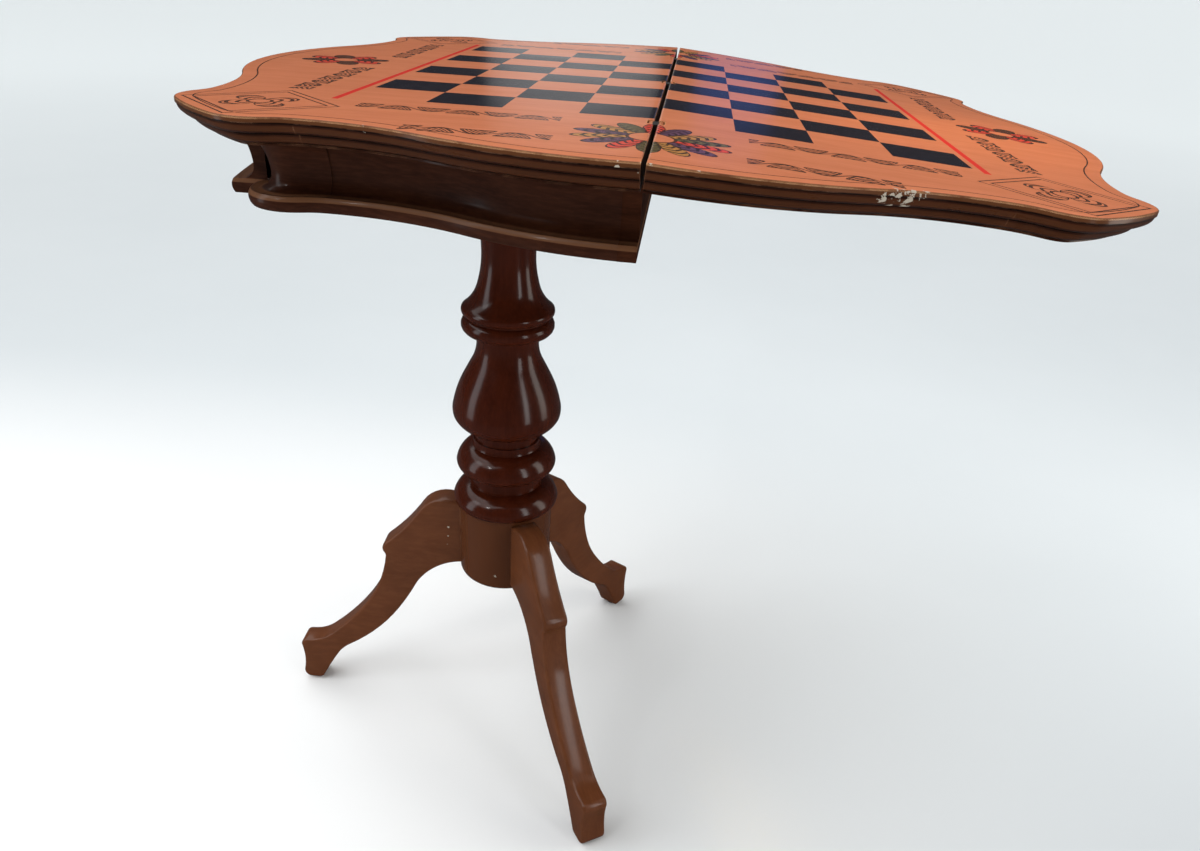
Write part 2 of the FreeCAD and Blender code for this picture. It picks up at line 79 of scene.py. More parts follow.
# Leaf outline in millimetres: bowed sides, hollows beside the bows, a lobe at each outer corner
notch_half = 316.5
corner_span = 98.5
front_bow = 54.5
end_bow = 49.5
bow_r = 290.0
lobe_offset = 31.4
lobe_proud = 7.5
lobe_r = 34.2
lobe_crown = 1.9
notch_start = notch_half - corner_span
half_length = notch_half + end_bow
half_width = notch_half + front_bow

# Leaf edge
arris_r = 1.0
split_arris = 1.1
moulding_w = 22.0
moulding_fillet = 2.4
reed_step = 0.8
reed_bulge = 2.6
lip_w = 3.8
lip_t = 1.2
border_in = 12.0
print_in = 16.0

# Slots for the hinge links in the top sheet
hinge_places = (-230.0, 0.0, 230.0)
slot_half = 7.3
slot_back = 5.8

# Box under the fixed leaf
box_inset = 41.0
bead_r = 5.25
nose_share = 0.4          # bead's lower edge behind its nose, as a share of its radius
ledge_in = 6.0
cove_in = 18.0
cove_share = 0.43         # height of the hollow's deepest point, as a share of the box's
cove_bow = 2.5            # the hollow's two arcs in front of that point half way
low_share = 0.3
high_share = 0.5
frieze_top_in = 9.0
frieze_in = 27.0
corner_ledge_in = 4.0
corner_cove_in = 17.0
corner_top_in = 7.0
box_lobe_proud = 6.0
box_lobe_r = 34.0
end_in = 39.5
end_fall = 22.6
box_half = notch_half - box_inset
end_half = box_half - end_in

# Column: radii and heights
hub_r = 52.3
hub_round = 9.0
ring_h = 27.5
ring_r = 58.5
collar_r = 54.9
vase_r = 58.5
bead_ring_r = 48.4
bead_h = 18.5
bead_step = 5.4
waist_r = 27.5
waist_up = 70.0
flange_r = 46.0
flange_t = 4.0
neck_in = 34.5
groove_in = 40.0
rod_bore = 5.5

# Legs
leg_t = 28.0
leg_h = 288.37
leg_arris = 3.0
leg_sink = 2.0
leg_root = 0.1633         # inner end of a leg, as a share of its reach
leg_shoulder = 0.9861     # where its top starts there, as a share of its height
leg_heading = math.radians(12.5)
toe_reach = 257.2
foot_z = 3.0
leg_angles = {"leg_left": 181.8, "leg_front": -57.0, "leg_back": 60.0}

# How finely curves are cut and what counts as touching, in steps and millimetres
path_step = 5.0
least_steps = 4
curve_steps = 7
round_steps = 128
touching = 0.01
merge_gap = 0.002
cut_gap = 0.001
crease = math.radians(32)

Arc = namedtuple("Arc", "x y r start sweep convex")


# Outline of a leaf and of the box, as arcs from the front of the split round to its back

def radius_at(arc, inset):
    return arc.r - inset if arc.convex else arc.r + inset


def across(arc):
    return Arc(arc.y, arc.x, arc.r, 90 - arc.start - arc.sweep, arc.sweep, arc.convex)


def behind(arc):
    return Arc(arc.x, -arc.y, arc.r, -arc.start - arc.sweep, arc.sweep, arc.convex)


def mirrored(arcs, mirror):
    return [mirror(arc) for arc in reversed(arcs)]


def inset_by(arcs, inset):
    return [arc._replace(r=radius_at(arc, inset)) for arc in arcs]


def s_curve(bow):
    """Half of a bowed side: the bow, then the hollow beside it until it runs level."""
    reach = (notch_start ** 2 + bow ** 2) / (2 * bow)
    turn = math.degrees(math.asin(notch_start / reach))
    hollow_r = reach - bow_r
    middle = Arc(0, bow_r - notch_half - bow, bow_r, -90, -turn, True)
    return [middle, Arc(-notch_start, -notch_half - hollow_r, hollow_r, 90 - turn, turn, False)]


def notch(half, lobe_x, lobe_y, round_r):
    """The hollow from where it runs level to the lobe that it meets smoothly."""
    along = lobe_x - notch_start
    down = half - lobe_y
    r = (along ** 2 + down ** 2 - round_r ** 2) / (2 * (round_r - down))
    turn = math.degrees(math.atan2(down + r, -along)) - 90
    return Arc(-notch_start, -half - r, r, 90, turn, False)


def leaf_corner():
    lobe_x = notch_start + lobe_offset
    lobe_y = notch_half + lobe_proud - lobe_r
    hollow = notch(notch_half, lobe_x, lobe_y, lobe_r)
    crown = lobe_r + lobe_crown
    aside = (lobe_y - lobe_x) / math.sqrt(2)
    crown_r = (crown ** 2 + aside ** 2 - lobe_r ** 2) / (2 * lobe_crown)
    middle = (lobe_x + lobe_y) / 2 + (crown - crown_r) / math.sqrt(2)
    start = hollow.sweep - 90
    end = math.degrees(math.atan2(middle - lobe_y, middle - lobe_x))
    rounding = Arc(-lobe_x, -lobe_y, lobe_r, start, end - start, True)
    top = Arc(-middle, -middle, crown_r, end, -270 - 2 * end, True)
    return [hollow, rounding, top, across(rounding), across(hollow)]


def box_corner():
    lobe = box_half + box_lobe_proud - box_lobe_r
    hollow = notch(box_half, lobe, lobe, box_lobe_r)
    start = hollow.sweep - 90
    return [hollow, Arc(-lobe, -lobe, box_lobe_r, start, -270 - 2 * start, True), across(hollow)]


def box_end_bow():
    r = (end_half ** 2 + end_fall ** 2) / (2 * end_fall)
    turn = math.degrees(math.asin((end_half + frieze_in) / r))
    return Arc(r - half_length + box_inset, 0, r, turn - 180, -2 * turn, True)


front = s_curve(front_bow)
corner = leaf_corner()
end = mirrored(s_curve(end_bow), across)
end = end + mirrored(end, behind)
outline = front + corner + end + mirrored(corner, behind) + mirrored(front, behind)
box_front = inset_by(front, box_inset)
box_lobes = box_corner()
box_end = [box_end_bow()]


# Mesh helpers: everything is drawn in millimetres about the split and set in the frame at the end

def circle_by(a, b, c):
    """Centre, axis and turn of the arc that leaves a, passes b and ends at c."""
    ab, ac = b - a, c - a
    axis = ab.cross(ac)
    to_centre = axis.cross(ab) * ac.length_squared + ac.cross(axis) * ab.length_squared
    centre = a + to_centre / (2 * axis.length_squared)
    axis.normalize()
    first, last = a - centre, c - centre
    turn = math.atan2(axis.dot(first.cross(last)), first.dot(last)) % (2 * math.pi)
    return centre, axis, turn


def only_verts(geom):
    return [item for item in geom if isinstance(item, bmesh.types.BMVert)]


def lie_at(verts, axis, value):
    """Whether all these points lie at a value on an axis."""
    return all(abs(vert.co[axis] - value) < touching for vert in verts)


def trace(bm, start, steps, place, closed=True):
    """Draw lines (one point) and arcs (a point on the way and the end) with extrude and spin."""
    first = here = bm.verts.new(place(*start))
    for step in steps:
        if len(step) == 1:
            here = only_verts(bmesh.ops.extrude_vert_indiv(bm, verts=[here])["verts"])[0]
            here.co = place(*step[0])
        else:
            centre, axis, turn = circle_by(here.co, place(*step[0]), place(*step[1]))
            spun = bmesh.ops.spin(bm, geom=[here], cent=centre, axis=axis, angle=turn, steps=curve_steps)
            here = only_verts(spun["geom_last"])[0]
    if closed:
        bm.edges.new((here, first))


def run_round(bm, arcs):
    """Spin what is drawn so far round each arc of an outline in turn."""
    geom = bm.verts[:] + bm.edges[:]
    for arc in arcs:
        steps = max(least_steps, math.ceil(abs(math.radians(arc.sweep)) * arc.r / path_step))
        spun = bmesh.ops.spin(bm, geom=geom, cent=(arc.x, arc.y, 0), axis=(0, 0, 1),
                              angle=math.radians(arc.sweep), steps=steps)
        geom = spun["geom_last"]


def spin_full(bm, x, steps):
    """Spin what is drawn so far right round an upright axis."""
    bmesh.ops.spin(bm, geom=bm.verts[:] + bm.edges[:], cent=(x, 0, 0), axis=(0, 0, 1),
                   angle=2 * math.pi, steps=steps, use_merge=True)


def at_start(arc):
    """Places a point of (inset, height) where an arc starts."""
    angle = math.radians(arc.start)

    def place(inset, z):
        r = radius_at(arc, inset)
        return Vector((arc.x + r * math.cos(angle), arc.y + r * math.sin(angle), z))
    return place


def cut(bm, at, way, clear=True):
    """Cut across a piece and, if asked, drop what lies beyond the cut."""
    geom = bm.verts[:] + bm.edges[:] + bm.faces[:]
    bmesh.ops.bisect_plane(bm, geom=geom, dist=cut_gap, plane_co=at, plane_no=way, clear_outer=clear)


def close_ends(bm):
    bmesh.ops.holes_fill(bm, edges=[edge for edge in bm.edges if edge.is_boundary], sides=0)


def thicken(bm, vec):
    """Fill the outline that is drawn and push it out into a board."""
    side = bmesh.ops.contextual_create(bm, geom=bm.edges[:])["faces"]
    pushed = only_verts(bmesh.ops.extrude_face_region(bm, geom=side)["geom"])
    bmesh.ops.translate(bm, vec=vec, verts=pushed)


def round_over(bm, edges, r, segments):
    bmesh.ops.bevel(bm, geom=edges, offset=r, offset_type="OFFSET", affect="EDGES", segments=segments,
                    profile=0.5, material=-1)


def note_rise(bm, base):
    """Keep each point's height above a base for the finishes."""
    rise = bm.verts.layers.float.new("rise")
    for vert in bm.verts:
        vert[rise] = vert.co.z - base


def to_folding_leaf(bm):
    """Mirror a piece of the fixed leaf and set it on the sagging leaf."""
    bmesh.ops.scale(bm, vec=(-1, 1, 1), verts=bm.verts)
    local_far = far_pivot - Vector((origin_x, 0, 0))
    bmesh.ops.translate(bm, vec=local_far - Vector((pivot_in, 0, near_pivot.z)), verts=bm.verts)
    bmesh.ops.rotate(bm, cent=local_far, matrix=Matrix.Rotation(droop, 3, "Y"), verts=bm.verts)


def new_object(bm, name, finish):
    """Put what is drawn in the scene, with its finish."""
    mesh = bpy.data.meshes.new(name)
    bm.to_mesh(mesh)
    bm.free()
    mesh.materials.append(finish)
    made = bpy.data.objects.new(name, mesh)
    scene.collection.objects.link(made)
    return made


def finish_piece(bm, name, body, node, finish):
    """Set a drawn piece in the frame, in metres, standing for its solid."""
    bmesh.ops.remove_doubles(bm, verts=bm.verts, dist=merge_gap)
    bmesh.ops.recalc_face_normals(bm, faces=bm.faces)
    bmesh.ops.scale(bm, vec=(MM, MM, MM), verts=bm.verts)
    bmesh.ops.translate(bm, vec=(origin_x * MM, 0, 0), verts=bm.verts)
    piece = new_object(bm, name, finish)
    piece.data.shade_smooth()
    piece.data.set_sharp_from_angle(angle=crease)
    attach(piece, body)
    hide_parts(node)


# Shader helpers

class Field:
    """A number over a surface, worked out by Math nodes in one tree."""

    def __init__(self, tree, socket):
        self.tree = tree
        self.socket = socket

    def math(self, operation, *terms):
        node = self.tree.nodes.new("ShaderNodeMath")
        node.operation = operation
        for slot, term in zip(node.inputs, (self,) + terms):
            if isinstance(term, Field):
                self.tree.links.new(term.socket, slot)
            else:
                slot.default_value = term
        return Field(self.tree, node.outputs[0])

    def __add__(self, other):
        return self.math("ADD", other)

    def __sub__(self, other):
        return self.math("SUBTRACT", other)

    def __mul__(self, other):
        return self.math("MULTIPLY", other)

    def __truediv__(self, other):
        return self.math("DIVIDE", other)

    def __mod__(self, other):
        return self.math("FLOORED_MODULO", other)

    def __abs__(self):
        return self.math("ABSOLUTE")

    def below(self, limit, soft=0.0):
        """1 where the number is under the limit, fading over soft."""
        if not soft:
            return self.math("LESS_THAN", limit)
        node = self.tree.nodes.new("ShaderNodeMapRange")
        node.interpolation_type = "SMOOTHSTEP"
        self.tree.links.new(self.socket, node.inputs["Value"])
        ends = {"From Min": limit - soft, "From Max": limit + soft, "To Min": 1, "To Max": 0}
        for name, value in ends.items():
            node.inputs[name].default_value = value
        return Field(self.tree, node.outputs["Result"])

    def over(self, limit, soft=0.0):
        return self.below(limit, soft) * -1 + 1

    def line(self, at, width):
        """1 on a line of that width where the number is near a value."""
        return abs(self - at).below(width / 2)

    def either(self, other):
        return self.math("MAXIMUM", other)

    def floor(self):
        return self.math("FLOOR")


def new_finish(name):
    material = bpy.data.materials.new(name)
    material.use_nodes = True
    tree = material.node_tree
    return material, tree, tree.nodes["Principled BSDF"]


def new_group(name, inputs, outputs):
    tree = bpy.data.node_groups.new(name, "ShaderNodeTree")
    for label, kind in inputs:
        tree.interface.new_socket(label, in_out="INPUT", socket_type=kind)
    for label in outputs:
        tree.interface.new_socket(label, in_out="OUTPUT", socket_type="NodeSocketFloat")
    return tree, tree.nodes.new("NodeGroupInput"), tree.nodes.new("NodeGroupOutput")


def placed(tree, group, vector, **values):
    """Put a shared effect in a material, with its own values."""
    node = tree.nodes.new("ShaderNodeGroup")
    node.node_tree = group
    tree.links.new(vector, node.inputs["Vector"])
    for label, value in values.items():
        node.inputs[label].default_value = value
    return {output.name: Field(tree, output) for output in node.outputs}


def object_vector(tree):
    return tree.nodes.new("ShaderNodeTexCoord").outputs["Object"]


def coordinates(tree, vector):
    parts = tree.nodes.new("ShaderNodeSeparateXYZ")
    tree.links.new(vector, parts.inputs[0])
    return [Field(tree, output) for output in parts.outputs]


def attribute(tree, name):
    node = tree.nodes.new("ShaderNodeAttribute")
    node.attribute_name = name
    return node.outputs


def noise(tree, vector, scale, detail=3.0, roughness=0.55):
    node = tree.nodes.new("ShaderNodeTexNoise")
    tree.links.new(vector, node.inputs["Vector"])
    node.inputs["Scale"].default_value = scale
    node.inputs["Detail"].default_value = detail
    node.inputs["Roughness"].default_value = roughness
    return Field(tree, node.outputs["Fac"])


def vector_math(tree, operation, vector, other):
    """Outputs of one step on a vector, with a second one that is a socket or a set of numbers."""
    node = tree.nodes.new("ShaderNodeVectorMath")
    node.operation = operation
    tree.links.new(vector, node.inputs[0])
    if isinstance(other, tuple):
        node.inputs[1].default_value = other
    else:
        tree.links.new(other, node.inputs[1])
    return node.outputs


def tinted(tree, under, colour, mask):
    """A colour laid over another where the mask is 1."""
    node = tree.nodes.new("ShaderNodeMix")
    node.data_type = "RGBA"
    factor, a, b = node.inputs[0], node.inputs[6], node.inputs[7]
    tree.links.new(mask.socket, factor)
    for slot, value in ((a, under), (b, colour)):
        if isinstance(value, tuple):
            slot.default_value = value + (1.0,)
        else:
            tree.links.new(value, slot)
    return node.outputs[2]


def dress(tree, bsdf, colour, roughness):
    tree.links.new(colour, bsdf.inputs["Base Color"])
    tree.links.new(roughness.socket, bsdf.inputs["Roughness"])


def make_grain():
    """Streaks and broad tone of stained wood, along the axis that the vector is squeezed on."""
    tree, given, made = new_group("wood_grain", [("Vector", "NodeSocketVector")], ["Tone", "Streak"])
    tone = noise(tree, given.outputs["Vector"], scale=1.0, detail=4.0)
    streak = noise(tree, given.outputs["Vector"], scale=6.0, detail=5.0, roughness=0.65)
    tree.links.new(tone.below(0.5, soft=0.28).socket, made.inputs["Tone"])
    tree.links.new(streak.over(0.55, soft=0.16).socket, made.inputs["Streak"])
    return tree


def make_wear():
    """Rubbed edges: where the surface turns within a short reach, broken up by noise."""
    inputs = [("Vector", "NodeSocketVector"), ("Reach", "NodeSocketFloat"), ("Amount", "NodeSocketFloat")]
    tree, given, made = new_group("arris_wear", inputs, ["Mask"])
    softened = tree.nodes.new("ShaderNodeBevel")
    softened.samples = 6
    tree.links.new(given.outputs["Reach"], softened.inputs["Radius"])
    true = tree.nodes.new("ShaderNodeNewGeometry")
    dot = vector_math(tree, "DOT_PRODUCT", softened.outputs["Normal"], true.outputs["Normal"])
    edge = Field(tree, dot["Value"]).below(0.93, soft=0.06)
    patchy = noise(tree, given.outputs["Vector"], scale=55.0, detail=5.0, roughness=0.7)
    patchy = patchy + Field(tree, given.outputs["Amount"])
    tree.links.new((edge * patchy.over(0.62, soft=0.12)).socket, made.inputs["Mask"])
    return tree


def make_chip():
    """A broken flake of lacquer about a point."""
    inputs = [("Vector", "NodeSocketVector"), ("Centre", "NodeSocketVector"), ("Reach", "NodeSocketFloat")]
    tree, given, made = new_group("lacquer_chip", inputs, ["Mask"])
    away = vector_math(tree, "DISTANCE", given.outputs["Vector"], given.outputs["Centre"])
    share = Field(tree, away["Value"]) / Field(tree, given.outputs["Reach"])
    ragged = noise(tree, given.outputs["Vector"], scale=330.0, roughness=0.6)
    flake = (ragged - share * 0.3).over(0.36, soft=0.03) * share.below(1.1)
    tree.links.new(flake.socket, made.inputs["Mask"])
    return tree


grain = make_grain()
wear = make_wear()
chip = make_chip()
bare_ground = (0.46, 0.40, 0.32)
worn_share = 0.8


def grained(tree, vector, squeeze, dark, light, tone_share=0.6):
    """Two tones of stain along the grain, and the mask of its streaks."""
    wood = placed(tree, grain, vector_math(tree, "MULTIPLY", vector, squeeze)["Vector"])
    mix = wood["Tone"] * tone_share + wood["Streak"] * (1 - tone_share)
    return tinted(tree, dark, light, mix), wood["Streak"]


def flaked(tree, vector, colour, chips):
    """Bare spots where the lacquer has come off, each at (x, y, z) with its reach."""
    for x, y, z, reach in chips:
        centre = Vector((x + origin_x, y, z)) * MM
        flake = placed(tree, chip, vector, Centre=centre, Reach=reach * MM)["Mask"]
        colour = tinted(tree, colour, bare_ground, flake)
    return colour


def stained_wood(name, dark, light, squeeze, rough, coat, rubbed, rub, local=None, bands=(), chips=()):
    """Stained and lacquered wood with its grain, toned bands by height (on the reeds and the bead these are
    painted highlights and painted shade), rubbed edges and chips.
    """
    material, tree, bsdf = new_finish(name)
    vector = object_vector(tree)
    grain_vector = attribute(tree, local)["Vector"] if local else vector
    colour, streak = grained(tree, grain_vector, squeeze, dark, light)
    # Bands by height; on the reeds and the bead they are painted highlights and painted shade
    for low, high, tone, share in bands:
        rise = Field(tree, attribute(tree, "rise")["Fac"])
        band = rise.over(low, soft=0.3) * rise.below(high, soft=0.3)
        colour = tinted(tree, colour, tone, band * share)
    worn = placed(tree, wear, vector, Reach=0.0012, Amount=rub)["Mask"]
    colour = tinted(tree, colour, rubbed, worn * worn_share)
    smudge = noise(tree, vector, scale=14.0, detail=4.0)
    roughness = smudge * 0.14 + streak * 0.05 + worn * 0.2 + rough
    dress(tree, bsdf, flaked(tree, vector, colour, chips), roughness)
    bsdf.inputs["Coat Weight"].default_value = coat
    bsdf.inputs["Coat Roughness"].default_value = 0.13
    bsdf.inputs["Specular IOR Level"].default_value = 0.02 + 0.3 * coat
    return material


def matt_finish(name, dark, light):
    """Two tones in streaks, without lacquer."""
    material, tree, bsdf = new_finish(name)
    colour, streak = grained(tree, object_vector(tree), (60.0, 5.0, 60.0), dark, light, tone_share=0.5)
    dress(tree, bsdf, colour, streak * 0.15 + 0.62)
    return material


def metal(name, colour, tarnish, rough):
    material, tree, bsdf = new_finish(name)
    spots = noise(tree, object_vector(tree), scale=260.0, detail=4.0)
    dress(tree, bsdf, tinted(tree, colour, tarnish, spots.over(0.52, soft=0.12)), spots * 0.25 + rough)
    bsdf.inputs["Metallic"].default_value = 1.0
    return material


def painted_link():
    """Links painted like the top where they lie in it, and near-black across the split as painted shade of the
    gap.
    """
    material, tree, bsdf = new_finish("link_paint")
    vector = object_vector(tree)
    x = coordinates(tree, vector)[X]
    gap_shade_mask = abs(x / MM - origin_x).below(2.2, soft=0.3)
    rubbed = noise(tree, vector, scale=300.0, detail=4.0)
    colour = tinted(tree, (0.46, 0.15, 0.052), (0.34, 0.11, 0.04), rubbed)
    # Painted shade: near-black where the links cross the split, so they read as the dark gap
    dress(tree, bsdf, tinted(tree, colour, (0.010, 0.008, 0.007), gap_shade_mask), rubbed * 0.2 + 0.4)
    return material


def glide_finish():
    material, tree, bsdf = new_finish("glide_plastic")
    dust = noise(tree, object_vector(tree), scale=320.0, detail=4.0)
    colour = tinted(tree, (0.018, 0.017, 0.016), (0.07, 0.065, 0.06), dust.over(0.56, soft=0.1))
    dress(tree, bsdf, colour, dust * 0.3 + 0.45)
    return material


# Printed top: chessboard, red side lines and a plain ornament of leaf bands, rosettes and lozenges

Rosette = namedtuple("Rosette", "petals reach dip")
Band = namedtuple("Band", "at low high")

square = 54.0
board_half = 4 * square
side_line_at = 4.13 * square
side_line_end = 4.25 * square
side_line_w = 4.8
border_w = 1.2
stroke = 2.2
sheet_grain = (7.0, 60.0, 1.0)
sheet_stains = ((0.54, 0.171, 0.078), (0.66, 0.221, 0.107))
edge_stain = (0.085, 0.033, 0.015)
worn_wood = (0.66, 0.36, 0.17)
square_ink = (0.009, 0.011, 0.018)
ink = (0.020, 0.013, 0.011)
red = (0.64, 0.036, 0.026)
blue = (0.018, 0.028, 0.10)
ochre = (0.40, 0.20, 0.05)
green = (0.035, 0.085, 0.035)
ink_share = 0.85
petal_share = 0.8

fan_shape = Rosette(14, 50.0, 18.0)
fan_at = 290.0
flower_shape = Rosette(8, 38.0, 14.0)
flower_at = 296.0
knot_shape = Rosette(4, 26.0, 19.0)
lozenge_at = 262.0
lozenge_reaches = (54.0, 46.0)
heart_share = 0.3
rib_share = 0.82
bar_pitch = 7.0
bar_w = 2.8
bar_lean = 5.0

band_turn = 46.0
band_swing = 7.0
blade_w = 6.5
blade_out = 7.5
hatch_pitch = 4.0
hatch_w = 2.2
side_bands = (Band(248.0, 62.0, 200.0), Band(318.0, 58.0, 150.0))
end_bands = (Band(262.0, 46.0, 196.0),)


def rosette(shape, across_field, along_field):
    """Lines of a round of barred petals, where the petals are, and each petal's number."""
    r = (across_field * across_field + along_field * along_field).math("SQRT")
    turns = along_field.math("ARCTAN2", across_field) * (shape.petals / (2 * math.pi))
    aside = abs(turns % 1.0 - 0.5) * 2
    rim = r - (aside * aside * -shape.dip + shape.reach)
    heart = shape.reach * heart_share
    inside = rim.below(0) * r.over(heart)
    bars = ((r + aside * bar_lean) % bar_pitch).below(bar_w)
    ribs = inside * aside.over(rib_share).either(bars)
    drawn = rim.line(0, stroke).either(r.line(heart, stroke)).either(ribs)
    return drawn, inside, turns.floor()


def petal_tints(tree, colour, inside, number, tints):
    """Colour a rosette's petals in turn."""
    for index, tint in enumerate(tints):
        in_turn = (number % float(len(tints))).line(index, 0.5)
        colour = tinted(tree, colour, tint, inside * in_turn * petal_share)
    return colour


def leaf_band(along, aside, band):
    """A waving stem with a hatched leaf in each bend, between the band's two ends."""
    sway = (along * (2 * math.pi / band_turn)).math("SINE")
    offset = aside - band.at - sway * band_swing
    bend = along % (band_turn / 2) / (band_turn / 4) - 1
    blade = abs(offset * sway.math("SIGN") + blade_out) - (bend * bend * -blade_w + blade_w)
    hatch = blade.below(0) * ((along + offset) % hatch_pitch).below(hatch_w)
    drawn = offset.line(0, stroke).either(blade.line(0, stroke)).either(hatch)
    return drawn * along.over(band.low) * along.below(band.high)


def ornament_lines(u, v):
    """Ink lines of the ornament, with the petals of the two coloured rosettes."""
    a, b = abs(u), abs(v)
    fan, *fan_petals = rosette(fan_shape, u, b - fan_at)
    flower, *flower_petals = rosette(flower_shape, a - flower_at, v)
    knot = rosette(knot_shape, a - lozenge_at, b - lozenge_at)[0]
    lozenge = abs(a - lozenge_at) + abs(b - lozenge_at)
    lines = fan.either(flower).either(knot)
    for reach in lozenge_reaches:
        lines = lines.either(lozenge.line(reach, stroke))
    for band in side_bands:
        lines = lines.either(leaf_band(a, b, band))
    for band in end_bands:
        lines = lines.either(leaf_band(b, a, band))
    return lines, fan_petals, flower_petals


def printed_top(chips):
    material, tree, bsdf = new_finish("printed_veneer")
    plan = tree.nodes.new("ShaderNodeUVMap")
    plan.uv_map = "plan"
    u, v = (field / MM for field in coordinates(tree, plan.outputs["UV"])[:2])
    vector = object_vector(tree)

    colour, _ = grained(tree, plan.outputs["UV"], sheet_grain, *sheet_stains)
    on_board = abs(u).below(board_half) * abs(v).below(board_half)
    dark = ((u / square).floor() + (v / square).floor()) % 2.0 * on_board
    faded = noise(tree, vector, scale=30.0) * 0.02 + 0.98
    colour = tinted(tree, colour, square_ink, dark * faded)
    side_lines = abs(u).line(side_line_at, side_line_w) * abs(v).below(side_line_end)
    colour = tinted(tree, colour, red, side_lines)

    lines, fan_petals, flower_petals = ornament_lines(u, v)
    colour = petal_tints(tree, colour, *fan_petals, (red, blue, ochre, green))
    colour = petal_tints(tree, colour, *flower_petals, (red, ink))
    inset = Field(tree, attribute(tree, "inset")["Fac"])
    colour = tinted(tree, colour, ink, lines.either(inset.line(border_in, border_w)) * ink_share)
    colour = tinted(tree, colour, edge_stain, inset.below(0.9, soft=0.4) * 0.9)

    worn = placed(tree, wear, vector, Reach=0.0016, Amount=0.2)["Mask"]
    colour = tinted(tree, colour, worn_wood, worn * worn_share)
    smudge = noise(tree, vector, scale=9.0, detail=5.0)
    dress(tree, bsdf, flaked(tree, vector, colour, chips), smudge * 0.12 + 0.13)
    bsdf.inputs["Specular IOR Level"].default_value = 0.07
    return material


# Finishes: toned bands are (low, high, tone, share) and chips (x, y, z, reach), in millimetres; on the reeds and
# the bead the bands are painted highlights and painted shade

level_grain = (16.0, 16.0, 90.0)
turned_grain = (70.0, 70.0, 5.0)
leg_grain = (8.0, 70.0, 26.0)
# Stain of the box and its rubbed edges; its one band, on the bead's upper round, is a painted highlight
box_stain_and_bead_highlight = {
    "dark": (0.024, 0.0068, 0.0034), "light": (0.062, 0.019, 0.0085), "squeeze": level_grain,
    "rubbed": (0.15, 0.062, 0.03), "rub": -0.2, "bands": [(7.4, 10.6, (0.20, 0.088, 0.042), 0.7)],
}
# Painted light and shade on the leaf edge, by height: the dark bands are painted shade in the grooves, the light
# bands painted highlights on the two reeds and the fillet
reed_painted_light_and_shade = [
    (8.0, 9.8, (0.005, 0.0018, 0.0012), 0.95), (15.6, 16.8, (0.007, 0.0025, 0.0015), 0.9),
    (11.0, 14.6, (0.088, 0.028, 0.0095), 0.6), (3.4, 7.0, (0.080, 0.025, 0.0085), 0.55),
    (16.8, 20.0, (0.12, 0.042, 0.015), 0.8),
]
hub_tone = [(hub_z, hub_top - ring_h - 1, (0.092, 0.031, 0.0115), 0.75)]
edge_chips = [
    (145, -332, 731, 7), (137, -336, 728, 5), (152, -329, 727, 6), (160, -326, 730, 4), (150, -324, 722, 5),
    (142, -328, 723, 4), (-171, -323, 741, 1.5), (-14, -371, 742, 1.6), (-2.5, -371, 739, 1.6),
    (-304, -279, 740, 2.6),
]
sheet_chips = [
    (145, -332, 733, 5), (153, -329, 732.5, 5), (162, -325, 732, 4), (30, -369, 742.5, 1.4),
    (-14, -370, 745, 1.6), (-2, -370, 744, 1.8), (4, -370, 744, 1.6), (-171, -322, 745, 1.6),
    (-306, -277, 744, 2.4),
]
leg_chips = [(-206.7, -16, 253.9, 1.8), (-207, -16, 241.4, 1.3), (-208.4, -16.1, 230, 1.8)]

dark_wood = stained_wood("dark_mahogany", rough=0.24, coat=0.15, chips=[(-245.3, -288.9, 683.0, 4.0)],
                         **box_stain_and_bead_highlight)
panel_wood = stained_wood("panel_mahogany", rough=0.66, coat=0.0, **box_stain_and_bead_highlight)
edge_wood = stained_wood("edge_mahogany", (0.020, 0.0046, 0.0017), (0.052, 0.0140, 0.0050), level_grain,
                         rough=0.22, coat=0.2, rubbed=(0.2, 0.09, 0.045), rub=0.08,
                         bands=reed_painted_light_and_shade, chips=edge_chips)
turned_wood = stained_wood("turned_mahogany", (0.034, 0.0056, 0.0018), (0.060, 0.0105, 0.0034), turned_grain,
                           rough=0.12, coat=0.35, rubbed=(0.12, 0.05, 0.03), rub=0.0,
                           bands=hub_tone, chips=[(-144.1, -52.3, 219.2, 2.2)])
leg_wood = stained_wood("leg_mahogany", (0.092, 0.0285, 0.0100), (0.148, 0.0475, 0.0175), leg_grain,
                        rough=0.26, coat=0.35, rubbed=(0.34, 0.16, 0.08), rub=0.12,
                        local="local", chips=leg_chips)
raw_wood = matt_finish("inner_wood", (0.30, 0.18, 0.10), (0.46, 0.31, 0.18))
under_wood = matt_finish("underside_stain", (0.045, 0.018, 0.010), (0.09, 0.036, 0.018))
veneer_print = printed_top(sheet_chips)
steel = metal("zinc_steel", (0.55, 0.55, 0.56), (0.30, 0.28, 0.26), rough=0.3)
brass = metal("dull_brass", (0.10, 0.070, 0.032), (0.035, 0.026, 0.016), rough=0.45)
link_paint = painted_link()
glide_black = glide_finish()

by_slot = {
    "top_veneer": veneer_print, "dark_wood": dark_wood, "leg_wood": leg_wood, "inner_wood": raw_wood,
    "steel": steel, "brass": brass, "glide": glide_black,
}
for node, slot in slots.items():
    finishes = frame["nodes"][node].data.materials
    finishes.clear()
    finishes.append(by_slot[slot])
for node in ("box_bottom", "fixed_leaf_core", "fixed_leaf_lipping", "folding_leaf_core",
             "folding_leaf_lipping"):
    frame["nodes"][node].data.materials[0] = under_wood
frame["nodes"]["hinge_links"].data.materials[0] = link_paint


# Leaves

